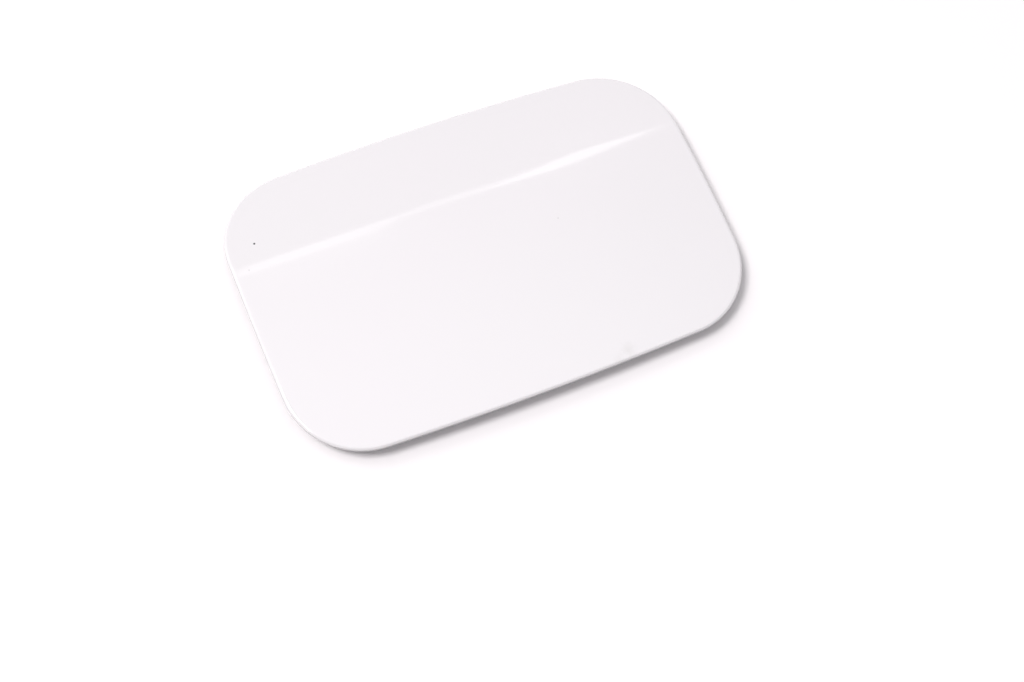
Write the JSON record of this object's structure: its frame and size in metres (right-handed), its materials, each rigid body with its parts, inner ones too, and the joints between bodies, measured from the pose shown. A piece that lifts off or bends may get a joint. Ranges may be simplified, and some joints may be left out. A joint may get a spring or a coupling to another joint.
{
  "type": "fuel filler flap",
  "caption": "White hemmed steel car fuel flap with bowed sides, a long crease and a low sprung leaf hinge, lock keeper and rubber buffers behind.",
  "frame": {"origin": "centre of the flap's outline, on the plane of the pocket ledge that the hinge base and the buffers sit on", "axes": "+X along the long side towards the hinge, +Y along the short side towards the crease, +Z out of the painted face"},
  "size_m": [0.19, 0.122, 0.0109],
  "materials": {
    "white_paint": "gloss white paint with a clear coat",
    "inner_paint": "thin white paint, low gloss",
    "zinc_steel": "zinc plated",
    "rivet_steel": "bright plated",
    "pin_steel": "drawn and polished",
    "spring_steel": "dark phosphated",
    "black_rubber": "matt moulded"
  },
  "bodies": {
    "base": {"hinge_base": "zinc_steel", "hinge_pin": "pin_steel", "pin_clip": "spring_steel", "hinge_spring": "spring_steel"},
    "flap": {"outer_panel": "white_paint", "inner_panel": "inner_paint", "hinge_arm": "zinc_steel", "arm_rivets": "rivet_steel", "lock_keeper": "zinc_steel", "keeper_rivets": "rivet_steel", "buffer_upper": "black_rubber", "buffer_lower": "black_rubber"}
  },
  "joints": [
    {"name": "flap_hinge", "type": "hinge", "parent": "base", "child": "flap", "pos_m": [0.089, -0.014, 0.00275], "axis": [0, 1, 0], "range_deg": [0, 90], "stiffness_Nm_per_rad": 0.03, "springref_deg": 108.86, "deforming": ["hinge_spring"]}
  ]
}
